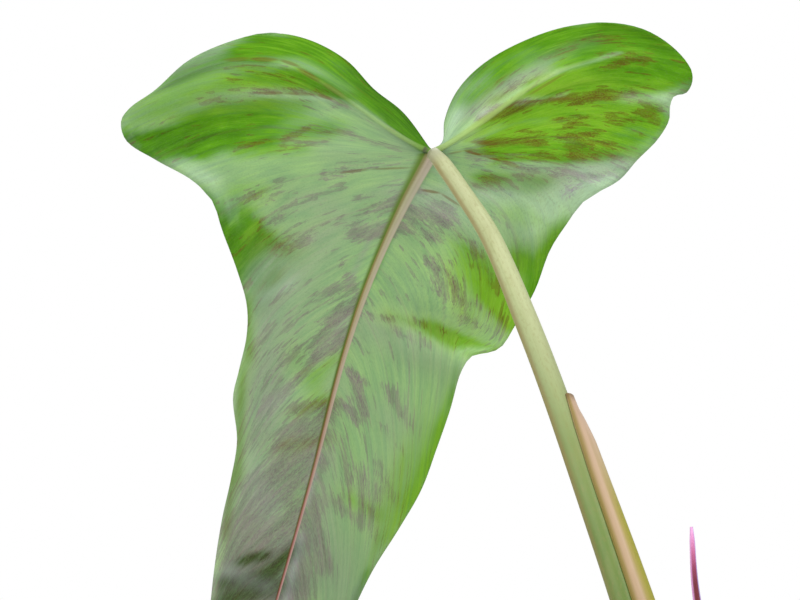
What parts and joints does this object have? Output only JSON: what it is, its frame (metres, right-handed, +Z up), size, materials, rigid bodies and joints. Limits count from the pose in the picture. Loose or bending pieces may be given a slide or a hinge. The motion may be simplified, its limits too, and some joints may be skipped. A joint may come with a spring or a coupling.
{
  "type": "potted philodendron",
  "caption": "Young potted aroid with large arrow-shaped mottled leaves on long petioles, a rolled new leaf and a plain round clay pot of bark mix.",
  "frame": {"origin": "centre of the pot's flat base, on the surface that it stands on", "axes": "+Z up; the large leaf hangs at the back left, towards -X and +Y, and shows its underside towards -Y"},
  "size_m": [0.3279, 0.2995, 0.4425],
  "materials": {
    "clay": "unglazed, matte",
    "soil": "rough bark mix",
    "stem": "waxy, ringed with leaf scars",
    "blade": "waxy sheen, mottled green and olive brown",
    "petiole": "smooth, satin",
    "sheath": "satin, tan edge",
    "dry_sheath": "papery",
    "new_leaf": "smooth, satin",
    "root": "matte"
  },
  "bodies": {
    "root": {"pot": "clay", "soil": "soil", "stem": "stem", "root_back": "root", "root_left": "root", "blade_main": "blade", "petiole_main": "petiole", "sheath_main": "sheath", "leaf_new": "new_leaf", "blade_right": "blade", "petiole_right": "petiole", "sheath_right": "dry_sheath", "blade_front": "blade", "petiole_front": "petiole", "sheath_front": "dry_sheath"}
  },
  "joints": []
}
